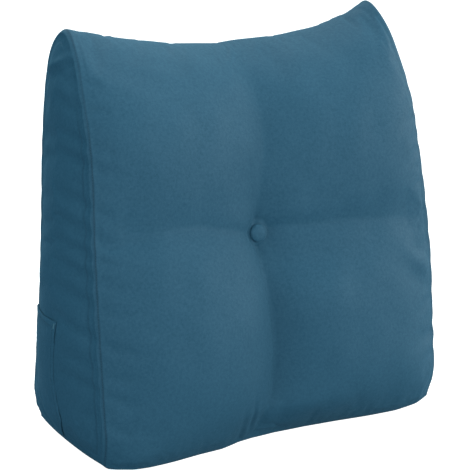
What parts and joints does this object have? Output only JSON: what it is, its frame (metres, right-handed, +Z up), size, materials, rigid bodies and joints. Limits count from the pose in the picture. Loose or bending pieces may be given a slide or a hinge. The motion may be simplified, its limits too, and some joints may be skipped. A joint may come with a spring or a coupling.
{
  "type": "wedge back cushion",
  "caption": "Upright wedge-shaped back cushion in blue velvet-like cloth, with a slanted tufted front, drawn-up ears and a flat base.",
  "frame": {"origin": "middle of the base, on the surface the cushion stands on", "axes": "+Z up; -Y towards the slanted, tufted front; +X towards the right of the front as it is looked at"},
  "size_m": [0.4991, 0.2413, 0.4956],
  "materials": {
    "cover_cloth": "matt, short velvet-like pile, petrol blue",
    "button_cloth": "matt, short velvet-like pile, petrol blue"
  },
  "bodies": {
    "root": {"cushion_body": "cover_cloth", "back_lap": "cover_cloth", "tuft_button": "button_cloth"}
  },
  "joints": []
}
